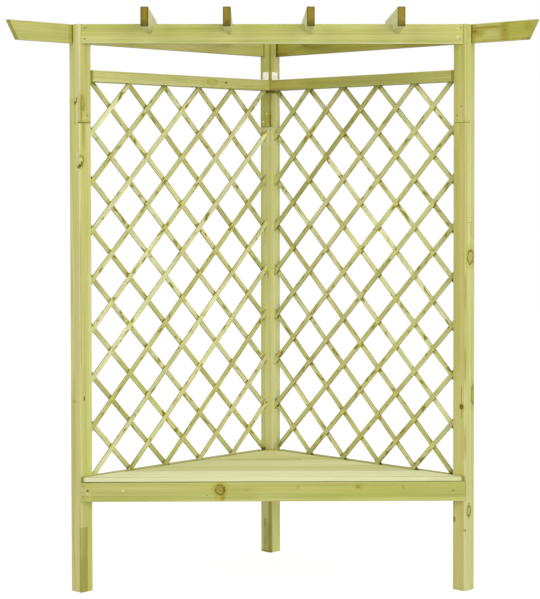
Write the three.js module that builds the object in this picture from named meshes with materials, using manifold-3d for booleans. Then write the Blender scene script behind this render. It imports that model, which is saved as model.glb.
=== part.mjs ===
import * as THREE from 'three';
import { mergeVertices } from 'three/addons/utils/BufferGeometryUtils.js';
import Module from 'manifold-3d';

// Corner arbour seat in pressure-treated pine: two trellised walls meet at a right angle at the back post,
// and a head beam, an apron and a seat close the open front. Millimetres, +Z up, the front faces -Y.

const wasm = await Module();
wasm.setup();

// Fits and cuts
const fitGap = 0.3;
const cutOverrun = 6;
const weldTolerance = 1e-3;

// Posts: square, with their faces in line with the walls, each spliced from a lower and an upper length.
// The splice ends a drop below the beams.
const postSide = 54;
const wallReach = 1020;
const headHeight = 2020;
const lapDrop = 193;
const lapLength = 90;

// Side beams, let into the posts' outer faces, with undercut tips
const beamHeight = 67;
const beamThickness = 22;
const tipOverhang = 280;
const tipUndercut = 40;

// Front beam, set back a little from the posts' front edges
const frontBeamHeight = 70;
const frontBeamSetback = 6;

// Rafters, notched over the front beam and over the side beams
const rafterWidth = 27;
const rafterHeight = 68;
const rafterNotch = 28;
const rafterFrontOverhang = 210;
const rafterRearOverhang = 40;
const rafterPlaceShares = [-0.322, -0.116, 0.094, 0.321];

// Trellis: grooved rails laid flat between the posts, and slats in two crossed layers.
// The top rail lies a drop below the beams, and the low rail's top a drop below the seat's.
const railDepth = 70;
const railHeight = 39.5;
const railSetback = 8.5;
const topRailDrop = 94;
const lowRailDrop = 8;
const grooveDepth = 12;
const slatWidth = 18;
const slatThickness = 6;
const slatPress = 0.4;
const latticeCornerMargin = 9.5;
const latticeFrontMargin = 27.5;
const diamondsAcross = 5;
const diamondsDown = 8;

// Seat: boards parallel to the front, on an apron and two bearers
const seatTop = 413;
const boardThickness = 18;
const boardGap = 2;
const seamShares = [0, 0.196, 0.375, 0.553, 0.73, 0.908, 1];
const apronHeight = 70;
const apronThickness = 22;
const bearerHeight = 68;
const bearerThickness = 28;

// Angle brackets at the back post
const bracketLeg = 33;
const bracketWidth = 30;
const bracketThickness = 2;
const bracketBend = 2.5;
const bracketInset = 4;

// Screws
const screwHeadRadius = 4;
const screwShankRadius = 2;
const screwHeadDepth = 3;
const screwPointLength = 6;
const screwSides = 8;
const panHeadHeight = 2;
const bracketScrewLength = 20;
const beamScrewInset = 19;
const beamScrewHeightShares = [0.25, 0.78];
const apronScrewInset = 24;
const apronScrewHeightShare = 0.43;
const lapScrewShares = [[0.3, 0.3], [0.62, 0.66]];
const screwBiteShare = 0.5;
const lapScrewShare = 0.83;

// Worked-out places. Along the walls, u runs from the back corner to the left and v to the right.
const root2 = Math.SQRT2;
const frontLine = (wallReach + postSide) / root2;
const frontWidth = (wallReach - postSide) * root2;
const rearOfFrontPost = wallReach - postSide;
const beamBottom = headHeight - beamHeight;
const frontBeamBottom = headHeight - frontBeamHeight;
const frontBeamFace = frontBeamSetback - frontLine;
const lapTop = beamBottom - lapDrop;
const lapBottom = lapTop - lapLength;
const boardBottom = seatTop - boardThickness;
const railInner = (postSide + railDepth) / 2;
const railOuter = (postSide - railDepth) / 2;
const railStart = postSide + railSetback;
const railEnd = rearOfFrontPost - fitGap;
const topRailTop = beamBottom - topRailDrop;
const topRailBottom = topRailTop - railHeight;
const lowRailTop = seatTop - lowRailDrop;
const lowRailBottom = lowRailTop - railHeight;
const reach = frontLine + rafterFrontOverhang;

const pineColour = 0xc9c795;
const steelColour = 0xc9cbc8;
const pine = () => new THREE.MeshStandardMaterial({ color: pineColour, roughness: 0.75, metalness: 0 });
const steel = () => new THREE.MeshStandardMaterial({ color: steelColour, roughness: 0.4, metalness: 0.9 });

// The arbour's origin lies on the ground under the middle of its box.
// Inside it, lengths start at the back corner.
const arbour = new THREE.Group();
arbour.position.y = reach / 2;

// In the plan group, x is u and y is v, so it is also the left wall's own frame.
const plan = new THREE.Group();
plan.rotation.z = (-3 * Math.PI) / 4;
const rightWall = new THREE.Group();
rightWall.rotation.z = -Math.PI / 4;
arbour.add(plan, rightWall);

// Each wall's frame has x along the wall, and inwards is +y on the left wall and -y on the right one.
const walls = [
  { side: 'left', frame: plan, inward: 1, frontRise: -1 },
  { side: 'right', frame: rightWall, inward: -1, frontRise: 1 },
];

// Solids, joined and cut in each piece's own frame
const bodies = new Map();

function solid(geometry) {
  const bare = new THREE.BufferGeometry();
  const loose = geometry.index ? geometry.toNonIndexed() : geometry;
  bare.setAttribute('position', loose.getAttribute('position'));
  const welded = mergeVertices(bare, weldTolerance);
  return new wasm.Manifold(
    new wasm.Mesh({
      numProp: 3,
      vertProperties: welded.attributes.position.array,
      triVerts: new Uint32Array(welded.index.array),
    }),
  );
}

function geometryOf(body) {
  const mesh = body.getMesh();
  const geometry = new THREE.BufferGeometry();
  geometry.setAttribute('position', new THREE.BufferAttribute(mesh.vertProperties, 3));
  geometry.setIndex(new THREE.BufferAttribute(mesh.triVerts, 1));
  const faceted = geometry.toNonIndexed();
  faceted.computeVertexNormals();
  return faceted;
}

function addPiece(frame, name, body, material) {
  const mesh = new THREE.Mesh(new THREE.BufferGeometry(), material);
  mesh.name = name;
  frame.add(mesh);
  bodies.set(mesh, body);
  return mesh;
}

// A box between two corners, given in any order
function block([x0, y0, z0], [x1, y1, z1]) {
  const geometry = new THREE.BoxGeometry(Math.abs(x1 - x0), Math.abs(y1 - y0), Math.abs(z1 - z0));
  return geometry.translate((x0 + x1) / 2, (y0 + y1) / 2, (z0 + z1) / 2);
}

// An outline seen from above, raised from z0 to z1
function raised(points, z0, z1) {
  const shape = new THREE.Shape(points);
  return new THREE.ExtrudeGeometry(shape, { depth: z1 - z0, bevelEnabled: false }).translate(0, 0, z0);
}

// An outline in x and z, given its thickness from y0 to y1
function upright(points, y0, y1) {
  const shape = points instanceof THREE.Shape ? points : new THREE.Shape(points);
  const geometry = new THREE.ExtrudeGeometry(shape, { depth: Math.abs(y1 - y0), bevelEnabled: false });
  return geometry.rotateX(Math.PI / 2).translate(0, Math.max(y0, y1), 0);
}

const point = (x, y) => new THREE.Vector2(x, y);
const atPlan = (u, v) => point((v - u) / root2, -(u + v) / root2);

// Posts. The upper length's tongue lies on the inner half of the lap.
// The side beams' notches are open on top.
function addPost(name, u, v, tongueAxis, notchAxes) {
  const frame = new THREE.Group();
  frame.position.set(u, v, 0);
  plan.add(frame);
  const half = postSide / 2;
  const full = postSide + cutOverrun;
  const tongueStart = tongueAxis === 'x' ? [half, -cutOverrun] : [-cutOverrun, half];
  const tongueEnd = tongueAxis === 'x' ? [half, full] : [full, half];

  const lowerCut = block([...tongueStart, lapBottom], [full, full, lapTop + cutOverrun]);
  const lower = solid(block([0, 0, 0], [postSide, postSide, lapTop - fitGap])).subtract(solid(lowerCut));

  const gapped = tongueEnd.map((end) => (end === half ? half + fitGap : end));
  const upperCut = block([-cutOverrun, -cutOverrun, lapBottom], [...gapped, lapTop]);
  let upper = solid(block([0, 0, lapBottom + fitGap], [postSide, postSide, headHeight]));
  upper = upper.subtract(solid(upperCut));
  for (const axis of notchAxes) {
    const depth = beamThickness + fitGap;
    const corner = axis === 'y' ? [full, depth] : [depth, full];
    const notch = block(
      [-cutOverrun, -cutOverrun, beamBottom - fitGap],
      [...corner, headHeight + cutOverrun],
    );
    upper = upper.subtract(solid(notch));
  }
  return {
    frame,
    tongueAxis,
    lower: addPiece(frame, name + '_lower', lower, pine()),
    upper: addPiece(frame, name + '_upper', upper, pine()),
  };
}

const backPost = addPost('post_back', 0, 0, 'x', ['x', 'y']);
const leftPost = addPost('post_left', rearOfFrontPost, 0, 'y', ['y']);
const rightPost = addPost('post_right', 0, rearOfFrontPost, 'x', ['x']);

// Side beams: the left one runs to the back corner, and the right one butts against it.
function addSideBeam({ side, frame, inward }, start) {
  const tip = wallReach + tipOverhang;
  const outline = [
    point(start, beamBottom),
    point(tip - tipUndercut, beamBottom),
    point(tip, headHeight),
    point(start, headHeight),
  ];
  const body = solid(upright(outline, 0, inward * beamThickness));
  return addPiece(frame, 'side_beam_' + side, body, pine());
}

const sideBeams = {
  left: addSideBeam(walls[0], 0),
  right: addSideBeam(walls[1], beamThickness + fitGap),
};

// A board across the front, mitred onto the posts' inner faces, flush with their front edges or set back
function addFrontBoard(name, thickness, setback, z0, z1) {
  const near = postSide + fitGap;
  const far = wallReach - fitGap - setback * root2;
  const rear = far - thickness * root2;
  const outline = [atPlan(far, near), atPlan(near, far), atPlan(near, rear), atPlan(rear, near)];
  return addPiece(arbour, name, solid(raised(outline, z0, z1)), pine());
}

const frontBeam = addFrontBoard(
  'front_beam', beamThickness, frontBeamSetback, frontBeamBottom, headHeight,
);
const apronTop = boardBottom - fitGap;
const apron = addFrontBoard('seat_apron', apronThickness, 0, apronTop - apronHeight, apronTop);

// Rafters run from front to back. One notch seats on the front beam and a skewed one on a side beam.
function addRafter(index, place) {
  const bottom = headHeight - rafterNotch;
  const rear = rafterRearOverhang - Math.abs(place);
  const wall = place < 0 ? walls[0] : walls[1];
  const bar = block(
    [place - rafterWidth / 2, -reach, bottom],
    [place + rafterWidth / 2, rear, bottom + rafterHeight],
  );
  const seat = headHeight + fitGap;
  const frontNotch = block(
    [-frontWidth, frontBeamFace - fitGap, bottom - cutOverrun],
    [frontWidth, frontBeamFace + beamThickness + fitGap, seat],
  );
  const sideNotch = block(
    [0, -wall.inward * fitGap, bottom - cutOverrun],
    [wallReach, wall.inward * (beamThickness + fitGap), seat],
  ).rotateZ(wall.frame.rotation.z);
  const body = solid(bar).subtract(solid(frontNotch)).subtract(solid(sideNotch));
  return { place, wall, mesh: addPiece(arbour, 'rafter_' + index, body, pine()) };
}

const rafters = rafterPlaceShares.map((share, i) => addRafter(i + 1, share * frontWidth));

// Trellis rails, grooved along the middle of the face that the lattice enters
function addRail({ side, frame, inward }, level, bottom, grooveUp) {
  const groove = slatThickness + fitGap;
  const middle = postSide / 2;
  const mouth = grooveUp ? bottom + railHeight : bottom;
  const depth = grooveUp ? -grooveDepth : grooveDepth;
  const overrun = grooveUp ? cutOverrun : -cutOverrun;
  const rail = block(
    [railStart, inward * railOuter, bottom],
    [railEnd, inward * railInner, bottom + railHeight],
  );
  const cut = block(
    [railStart - cutOverrun, inward * (middle - groove), mouth + depth],
    [railEnd + cutOverrun, inward * (middle + groove), mouth + overrun],
  );
  return addPiece(frame, 'trellis_rail_' + level + '_' + side, solid(rail).subtract(solid(cut)), pine());
}

// Lattice: straight slats in two layers that cross at right angles and are stapled where they cross.
// The slat lines pass through a net of points, one pitch apart along the wall and one up it.
function addLattice({ side, frame, inward, frontRise }) {
  const middle = postSide / 2;
  const left = postSide + latticeCornerMargin;
  const right = rearOfFrontPost - latticeFrontMargin;
  const columnPitch = (right - left) / diamondsAcross;
  const rowPitch = (topRailBottom - seatTop) / diamondsDown;
  const centre = (left + right) / 2;
  const length = 2 * Math.hypot(wallReach, headHeight);
  const layers = [
    { rise: frontRise, from: -slatPress, to: slatThickness },
    { rise: -frontRise, from: 0, to: -slatThickness },
  ];
  let net = null;
  for (const { rise, from, to } of layers) {
    const y0 = inward * (middle + from);
    const y1 = inward * (middle + to);
    const angle = Math.atan2(rowPitch, columnPitch) * rise;
    for (let k = 1 - diamondsDown; k < diamondsAcross; k += 1) {
      const start = rise > 0 ? left : right;
      const height = seatTop + rowPitch * ((rise * (centre - start)) / columnPitch - k);
      const slat = block([-length / 2, y0, -slatWidth / 2], [length / 2, y1, slatWidth / 2]);
      const body = solid(slat.rotateY(-angle).translate(centre, 0, height));
      net = net ? net.add(body) : body;
    }
  }
  const panel = block(
    [postSide + fitGap, -railDepth, lowRailTop - grooveDepth + fitGap],
    [rearOfFrontPost - fitGap, railDepth, topRailBottom + grooveDepth - fitGap],
  );
  return addPiece(frame, 'trellis_lattice_' + side, net.intersect(solid(panel)), pine());
}

const rails = {};
for (const wall of walls) {
  rails[wall.side] = {
    top: addRail(wall, 'top', topRailBottom, false),
    low: addRail(wall, 'low', lowRailBottom, true),
  };
  addLattice(wall);
}

// Bearers lie along the low rails' inner faces, mitred to each other at the back and to the apron in front.
for (const { side, frame, inward } of walls) {
  const near = railInner + fitGap;
  const far = near + bearerThickness;
  const apronRear = wallReach + postSide - (apronThickness + fitGap) * root2;
  const front = Math.min(railEnd, apronRear - near);
  const outline = [
    point(near + fitGap, inward * near),
    point(front, inward * near),
    point(apronRear - far, inward * far),
    point(far + fitGap, inward * far),
  ];
  const top = boardBottom - fitGap;
  addPiece(frame, 'seat_bearer_' + side, solid(raised(outline, top - bearerHeight, top)), pine());
}

// Seat boards: the seat's outline from above, parted at the seams. The front board fits between the posts.
function addSeatBoards() {
  const atPost = postSide + fitGap;
  const atRail = railInner + fitGap;
  const beside = rearOfFrontPost - fitGap;
  const front = wallReach - fitGap;
  const half = [[front, atPost], [beside, atPost], [beside, atRail]];
  const outline = [
    ...half.map(([u, v]) => atPlan(u, v)),
    atPlan(atRail, atRail),
    ...half.reverse().map(([u, v]) => atPlan(v, u)),
  ];
  const seat = solid(raised(outline, boardBottom, seatTop));
  const back = -atRail * root2;
  const depth = frontLine + back;
  const seams = seamShares.map((share) => share * depth - frontLine);
  for (let i = 1; i < seams.length; i += 1) {
    const start = i === 1 ? seams[0] - cutOverrun : seams[i - 1] + boardGap / 2;
    const end = i === seams.length - 1 ? seams[i] + cutOverrun : seams[i] - boardGap / 2;
    const strip = block(
      [-frontLine, start, boardBottom - cutOverrun],
      [frontLine, end, seatTop + cutOverrun],
    );
    addPiece(arbour, 'seat_board_' + i, seat.intersect(solid(strip)), pine());
  }
}

addSeatBoards();

// Angle brackets join the rails' back ends to the back post: above the top rail and below the low one.
function addBracket({ side, frame, inward }, level, base, up) {
  const inner = bracketThickness + bracketBend;
  const corner = (x, z) => [x, up * z];
  const shape = new THREE.Shape();
  shape.moveTo(...corner(0, 0));
  shape.lineTo(...corner(bracketLeg, 0));
  shape.lineTo(...corner(bracketLeg, bracketThickness));
  shape.lineTo(...corner(inner, bracketThickness));
  shape.quadraticCurveTo(...corner(bracketThickness, bracketThickness), ...corner(bracketThickness, inner));
  shape.lineTo(...corner(bracketThickness, bracketLeg));
  shape.lineTo(...corner(0, bracketLeg));
  const middle = postSide / 2 + bracketInset;
  const y0 = inward * (middle - bracketWidth / 2);
  const y1 = inward * (middle + bracketWidth / 2);
  const holder = new THREE.Group();
  holder.position.set(postSide + fitGap, 0, base + up * fitGap);
  frame.add(holder);
  const extruded = new THREE.ExtrudeGeometry(shape, {
    depth: bracketWidth,
    bevelEnabled: false,
    curveSegments: 3,
  });
  const body = solid(extruded.rotateX(Math.PI / 2).translate(0, Math.max(y0, y1), 0));
  return addPiece(holder, 'bracket_' + level + '_' + side, body, steel());
}

// Screws. The profile runs up the screw from its point to the crown.
// A bore is the same with room round it.
function screwGeometry(length, pan, room) {
  const shank = screwShankRadius + room;
  const head = screwHeadRadius + room;
  const profile = [point(0, -length - room), point(shank, screwPointLength - length - room)];
  if (pan) {
    const crown = room > 0 ? [point(shank, cutOverrun)] : [
      point(shank, fitGap),
      point(head, fitGap),
      point(head / 2, fitGap + panHeadHeight),
    ];
    profile.push(...crown, point(0, crown[crown.length - 1].y));
  } else {
    const top = room > 0 ? cutOverrun : 0;
    profile.push(point(shank, -screwHeadDepth - room), point(head, -room), point(head, top), point(0, top));
  }
  const unique = profile.filter((p, i) => i === 0 || p.distanceTo(profile[i - 1]) > weldTolerance);
  return new THREE.LatheGeometry(unique, screwSides).rotateX(Math.PI / 2);
}

function driveScrew(name, frame, place, direction, length, hosts, pan = false) {
  const holder = new THREE.Group();
  holder.position.copy(place);
  holder.quaternion.setFromUnitVectors(new THREE.Vector3(0, 0, -1), direction);
  frame.add(holder);
  addPiece(holder, name, solid(screwGeometry(length, pan, 0)), steel());
  arbour.updateMatrixWorld(true);
  for (const host of hosts) {
    const toHost = host.matrixWorld.clone().invert().multiply(holder.matrixWorld);
    const bore = screwGeometry(length, pan, fitGap).applyMatrix4(toHost);
    bodies.set(host, bodies.get(host).subtract(solid(bore)));
  }
}

const spot = (x, y, z) => new THREE.Vector3(x, y, z);
const down = spot(0, 0, -1);
const toBack = spot(0, 1, 0);

// Two screws hold each splice, driven through the upper tongue.
[['back', backPost], ['left', leftPost], ['right', rightPost]].forEach(([side, post]) => {
  lapScrewShares.forEach(([across, up], i) => {
    const height = lapBottom + up * lapLength;
    const onX = post.tongueAxis === 'x';
    const beside = across * postSide;
    const place = onX ? spot(postSide, beside, height) : spot(beside, postSide, height);
    const direction = onX ? spot(-1, 0, 0) : spot(0, -1, 0);
    const name = 'screw_splice_' + side + '_' + (i + 1);
    driveScrew(name, post.frame, place, direction, lapScrewShare * postSide, [post.upper, post.lower]);
  });
});

// The front beam and the apron are screwed straight back into the front posts.
const screwBite = screwBiteShare * postSide;
for (const [side, post, sign] of [['left', leftPost, -1], ['right', rightPost, 1]]) {
  beamScrewHeightShares.forEach((share, i) => {
    const x = sign * (frontWidth / 2 - beamScrewInset);
    const place = spot(x, frontBeamFace, frontBeamBottom + share * frontBeamHeight);
    const name = 'screw_front_beam_' + side + '_' + (i + 1);
    const length = beamScrewInset - frontBeamSetback + screwBite;
    driveScrew(name, arbour, place, toBack, length, [frontBeam, post.upper]);
  });
  const x = sign * (frontWidth / 2 - apronScrewInset);
  const place = spot(x, -frontLine, apronTop - apronScrewHeightShare * apronHeight);
  driveScrew('screw_apron_' + side, arbour, place, toBack, apronScrewInset + screwBite, [apron, post.lower]);
}

// Each rafter is screwed down into both beams.
rafters.forEach(({ place, wall, mesh }, i) => {
  const top = headHeight - rafterNotch + rafterHeight;
  const length = rafterHeight - rafterNotch + screwBiteShare * beamHeight;
  const front = spot(place, frontBeamFace + beamThickness / 2, top);
  driveScrew('screw_rafter_front_' + (i + 1), arbour, front, down, length, [mesh, frontBeam]);
  const rear = spot(place, -Math.abs(place) - beamThickness / root2, top);
  driveScrew('screw_rafter_rear_' + (i + 1), arbour, rear, down, length, [mesh, sideBeams[wall.side]]);
});

// Brackets at the back post, with one screw in each leg
for (const wall of walls) {
  const { side, frame, inward } = wall;
  for (const [level, base, up] of [['top', topRailTop, 1], ['low', lowRailBottom, -1]]) {
    const bracket = addBracket(wall, level, base, up);
    const y = inward * (postSide / 2 + bracketInset);
    const face = fitGap + bracketThickness;
    const onRail = spot((railStart + postSide + bracketLeg) / 2, y, base + up * face);
    const onPost = spot(postSide + face, y, base + (up * (bracketLeg + bracketThickness)) / 2);
    const name = 'screw_bracket_' + level + '_' + side;
    const rail = rails[side][level];
    const post = level === 'top' ? backPost.upper : backPost.lower;
    driveScrew(name + '_rail', frame, onRail, spot(0, 0, -up), bracketScrewLength, [bracket, rail], true);
    driveScrew(name + '_post', frame, onPost, spot(-1, 0, 0), bracketScrewLength, [bracket, post], true);
  }
}

for (const [mesh, body] of bodies) mesh.geometry = geometryOf(body);

export default arbour;
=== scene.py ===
import math

import bmesh
import bpy
import numpy as np
from mathutils import Matrix, Vector


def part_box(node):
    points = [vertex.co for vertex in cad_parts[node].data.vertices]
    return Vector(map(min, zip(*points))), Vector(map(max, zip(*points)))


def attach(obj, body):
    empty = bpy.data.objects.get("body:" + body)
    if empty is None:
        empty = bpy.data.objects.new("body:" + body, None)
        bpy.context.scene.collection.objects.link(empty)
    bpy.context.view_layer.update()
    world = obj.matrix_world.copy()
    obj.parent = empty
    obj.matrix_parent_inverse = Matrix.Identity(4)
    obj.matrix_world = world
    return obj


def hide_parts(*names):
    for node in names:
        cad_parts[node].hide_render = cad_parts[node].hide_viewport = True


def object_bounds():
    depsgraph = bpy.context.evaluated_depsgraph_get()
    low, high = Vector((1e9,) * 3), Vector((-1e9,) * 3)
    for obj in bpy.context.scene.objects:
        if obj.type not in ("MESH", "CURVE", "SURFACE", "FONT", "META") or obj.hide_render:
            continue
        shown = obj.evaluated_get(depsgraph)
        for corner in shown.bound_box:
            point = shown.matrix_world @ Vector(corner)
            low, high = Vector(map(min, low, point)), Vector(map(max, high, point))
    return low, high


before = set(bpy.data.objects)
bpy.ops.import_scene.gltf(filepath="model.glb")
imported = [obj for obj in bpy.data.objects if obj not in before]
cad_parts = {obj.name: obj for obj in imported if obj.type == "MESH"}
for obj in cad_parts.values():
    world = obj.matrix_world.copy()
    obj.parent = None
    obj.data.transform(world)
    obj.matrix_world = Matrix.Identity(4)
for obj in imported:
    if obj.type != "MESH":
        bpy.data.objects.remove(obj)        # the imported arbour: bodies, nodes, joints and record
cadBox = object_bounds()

# A corner arbour seat in pressure-treated pine. Metres, +Z up, the open front faces -Y.

root2 = math.sqrt(2)
up = Vector((0, 0, 1))
rightward = Vector((1, 0, 0))
backward = Vector((0, 1, 0))
leftWall = Vector((-1, -1, 0)) / root2      # along the left wall, from the back corner
rightWall = Vector((1, -1, 0)) / root2      # along the right wall, from the back corner
backCorner = Vector((0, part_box("post_back_lower")[1].y, 0))
weld = 1e-5                        # corners nearer than this are one
flatAngle = math.radians(0.5)      # and so are faces that turn less than this
white = (1, 1, 1, 1)
walls = (("left", leftWall, rightWall), ("right", rightWall, leftWall))      # side, along, inwards


def coordinates(node):
    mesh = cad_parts[node].data
    flat = np.empty(3 * len(mesh.vertices))
    mesh.vertices.foreach_get("co", flat)
    return flat.reshape(-1, 3)


def span(node, axis):      # lowest and highest reach of a node along an axis through the back corner
    reach = (coordinates(node) - np.array(backCorner)) @ np.array(axis)
    return reach.min(), reach.max()


# A socket of a shader tree. Sums and products of wires add the Math nodes that they need.
class Wire:
    def __init__(self, tree, socket=None):
        self.tree = tree
        self.socket = socket

    def make(self, kind, settings, inputs, output=0):
        node = self.tree.nodes.new(kind)
        for name, value in settings.items():
            setattr(node, name, value)
        for name, value in inputs.items():
            if isinstance(value, Wire):
                self.tree.links.new(value.socket, node.inputs[name])
            else:
                node.inputs[name].default_value = value
        return Wire(self.tree, node.outputs[output])

    def math(self, operation, *terms):
        return self.make("ShaderNodeMath", {"operation": operation}, dict(enumerate(terms)))

    def __add__(self, other):
        return self.math("ADD", self, other)

    def __sub__(self, other):
        return self.math("SUBTRACT", self, other)

    def __mul__(self, other):
        return self.math("MULTIPLY", self, other)

    def __truediv__(self, other):
        return self.math("DIVIDE", self, other)

    def __pow__(self, other):
        return self.math("POWER", self, other)

    def __rsub__(self, other):
        return self.math("SUBTRACT", other, self)

    def __abs__(self):
        return self.math("ABSOLUTE", self)

    __radd__ = __add__
    __rmul__ = __mul__

    def smooth(self, low, high):      # 0 below low, 1 above high, with a soft step between
        settings = {"interpolation_type": "SMOOTHSTEP"}
        return self.make("ShaderNodeMapRange", settings, {0: self, 1: low, 2: high})

    def blend(self, first, second, share):      # the first colour, turning to the second by a share
        return self.make("ShaderNodeMix", {"data_type": "RGBA"}, {0: share, 6: first, 7: second}, 2)

    def mixed(self, other, share):      # this colour, turning to another by a share
        return self.blend(self, other, share)

    def parts(self):
        return [self.make("ShaderNodeSeparateXYZ", {}, {0: self}, axis) for axis in range(3)]

    def vector(self, operation, *terms):
        return self.make("ShaderNodeVectorMath", {"operation": operation}, dict(enumerate(terms)))

    def scaled(self, factor):
        return self.make("ShaderNodeVectorMath", {"operation": "SCALE"}, {0: self, 3: factor})

    def deepened(self, level, power, most):      # less blue, the darker the colour is than the level
        blue = self.math("MINIMUM", self.parts()[1] / level, most) ** power
        kept = self.make("ShaderNodeCombineXYZ", {}, {0: 1.0, 1: 1.0, 2: blue})
        return self.vector("MULTIPLY", self, kept)

    def noise(self, stretch, detail=2.0):      # from -0.5 to 0.5, at so many waves a metre along each axis
        place = self.vector("MULTIPLY", self, stretch)
        return self.make("ShaderNodeTexNoise", {}, {"Vector": place, "Scale": 1.0, "Detail": detail}) - 0.5

    def chance(self):      # a random number from 0 to 1 for each number
        return self.make("ShaderNodeTexWhiteNoise", {"noise_dimensions": "1D"}, {"W": self})


def blankMaterial(name):
    material = bpy.data.materials.new(name)
    material.use_nodes = True
    tree = material.node_tree
    return material, tree.nodes["Principled BSDF"], Wire(tree)


def attribute(wire, name, output="Vector"):
    return wire.make("ShaderNodeAttribute", {"attribute_name": name}, {}, output)


def plug(shader, socket, wire):
    wire.tree.links.new(wire.socket, shader.inputs[socket])


# Treated pine. The attribute timber holds a place in the piece: along the grain, across it and in depth,
# counted from the tree's heart. The attribute shade holds the piece's lightness, tan share and ring contrast.
pineLook = {
    "early": (0.590, 0.592, 0.246, 1),
    "late": (0.440, 0.420, 0.125, 1),
    "tan": (0.600, 0.540, 0.230, 1),
    "green": (0.490, 0.525, 0.140, 1),
    "pale": (0.780, 0.785, 0.450, 1),
    "peach": (0.610, 0.545, 0.235, 1),
    "yellow": (0.600, 0.590, 0.130, 1),
    "olive": (0.340, 0.310, 0.055, 1),
    "brown": (0.235, 0.185, 0.035, 1),
    "dark": (0.085, 0.070, 0.012, 1),
    "endDark": (0.280, 0.240, 0.085, 1),
    "endBrown": (0.170, 0.120, 0.030, 1),
    "endCore": (0.260, 0.160, 0.035, 1),
    "knotRim": (0.120, 0.092, 0.020, 1),
    "knotHeart": (0.290, 0.225, 0.070, 1),
    "halo": (0.370, 0.335, 0.080, 1),
    "cream": (0.620, 0.622, 0.325, 1),
    # painted light, for the back post's foot in the seat's shade
    "paintedLightGreen": (0.800, 0.805, 0.275, 1),
    "deepened": (0.58, 1.1, 1.06),      # the level that keeps its blue, the loss's power and the most blue
    "ringWidth": 0.0042,
    "waves": ((0.8, 7, 7), 0.026),
    "ripples": ((4, 32, 32), 0.0045),
    "lateStart": (0.3, 0.88),           # where late wood sets in and ends, as shares of a ring
    "lateEnd": (0.93, 1.0),
    "lateChance": (0.35, 0.65),         # how strong it is at least, and how much more by chance
    "bands": (                  # waves a metre along, across and in depth, then detail and strength
        ((0.7, 40, 40), 3, 0.50),
        ((1.5, 105, 105), 2, 0.42),
        ((3, 260, 260), 2, 0.30),
        ((14, 1100, 1100), 1, 0.22),
    ),
    "tanPatches": ((0.5, 24, 24), (-0.08, 0.14)),
    "greenPatches": ((1.6, 17, 17), (-0.02, 0.18)),
    "greenShare": 0.7,
    "ragged": ((9, 70, 70), 0.9),
    "arris": 0.22,
    "endShare": 0.62,                   # how dark end grain is, and how much more where fine bands are dark
    "endFine": 1.2,
    "roughness": (0.60, 0.08, -0.10, 0.2),      # plain, and more by late wood, fine bands and end grain
    "relief": (2.4, 1.4, -0.22, -0.6),          # by fibres, fine bands, late wood and the rims of knots
    "reliefDepth": 0.0007,
    "reliefStrength": 0.55,
    "specular": 0.35,
}

knotLook = {      # steps count from the knot's axis, in its sizes
    "wobble": ((60, 90, 90), 0.9),
    "reach": (0.0084, 0.014),           # how deep below its face a knot fades, in metres
    "push": (0, 3.2),
    "bulge": 0.9,
    "inside": (0.82, 1.0),
    "rimStart": (0.62, 0.92),
    "rimEnd": (1.0, 1.25),
    "halo": (1.0, 2.4),
    "heartRings": 9,
    "heartShare": 0.6,
}


# Marks on a timber, placed from its middle: along the grain, across it and in depth. A knot's axis turns
# from across, 0, to depth, 90 degrees, and the knot is longer along the grain by its stretch.
def knot(at, size, turn=0, stretch=1.35, rim=1.0, fill=0.9, halo=0.5):
    return {
        "kind": "knot", "at": at, "size": size, "turn": math.radians(turn), "stretch": stretch,
        "rim": rim, "fill": fill, "halo": halo,
    }


# A stain fills a soft-edged box, whose ends may be softer than its sides; the same boxes also lay painted
# light and painted shade. Its limits along the grain may count inwards from one end of the timber, 1 or -1,
# and it then covers the end grain too. A late one covers the pale arrises.
def stainAndShade(colour, amount, along=(None, None), across=(None, None), depth=(None, None),
          soft=0.002, fade=None, end=0, late=False):
    return {
        "kind": "end stain" if end else "late stain" if late else "stainAndShade",
        "colour": colour, "amount": amount, "limits": [along, across, depth],
        "softs": (fade or soft, soft, soft), "end": end,
    }


def strip(colour, amount, way, start, soft):      # painted shade over all that lies beyond a start along a way
    return {"kind": "strip", "colour": colour, "amount": amount, "way": way, "start": start, "soft": soft}


def settled(mark, heart, half):      # the mark in the count of the attribute timber
    if mark["kind"] == "knot":
        return {**mark, "at": tuple(heart + np.array(mark["at"]))}
    if mark["kind"] == "strip":
        return {**mark, "start": mark["start"] + float(np.dot(heart, mark["way"]))}
    limits = list(mark["limits"])
    if mark["end"]:
        first, last = [None if limit is None else mark["end"] * (half[0] - limit) for limit in limits[0]]
        limits[0] = (last, first) if mark["end"] > 0 else (first, last)
    limits = [
        tuple(None if limit is None else limit + heart[axis] for limit in pair)
        for axis, pair in enumerate(limits)
    ]
    return {**mark, "limits": limits}


def knotField(place, mark):
    # The distance from the knot's axis over its size, and how near the face is that the knot comes out of
    along, across, depth = place.parts()
    cosine, sine = math.cos(mark["turn"]), math.sin(mark["turn"])
    x, y, z = mark["at"]
    out = across * cosine + depth * sine
    side = depth * cosine - across * sine - (z * cosine - y * sine)
    waves, size = knotLook["wobble"]
    wobble = place.noise(waves) * (size * mark["size"])
    distance = (((along - x) / mark["stretch"]) ** 2 + side ** 2) ** 0.5 + wobble
    level = y * cosine + z * sine
    return distance / mark["size"], 1 - abs(out - level).smooth(*knotLook["reach"])


def stainAndShadeField(coordinates, ragged, mark):
    mask = ragged * mark["amount"]
    for coordinate, (low, high), soft in zip(coordinates, mark["limits"], mark["softs"]):
        if low is not None:
            mask = mask * coordinate.smooth(low - soft, low + soft)
        if high is not None:
            mask = mask * (1 - coordinate.smooth(high - soft, high + soft))
    return mask


def stripField(place, mark):
    way = place.make("ShaderNodeVectorMath", {"operation": "DOT_PRODUCT"}, {0: place, 1: mark["way"]}, 1)
    return way.smooth(mark["start"] - mark["soft"], mark["start"] + mark["soft"]) * mark["amount"]
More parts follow.
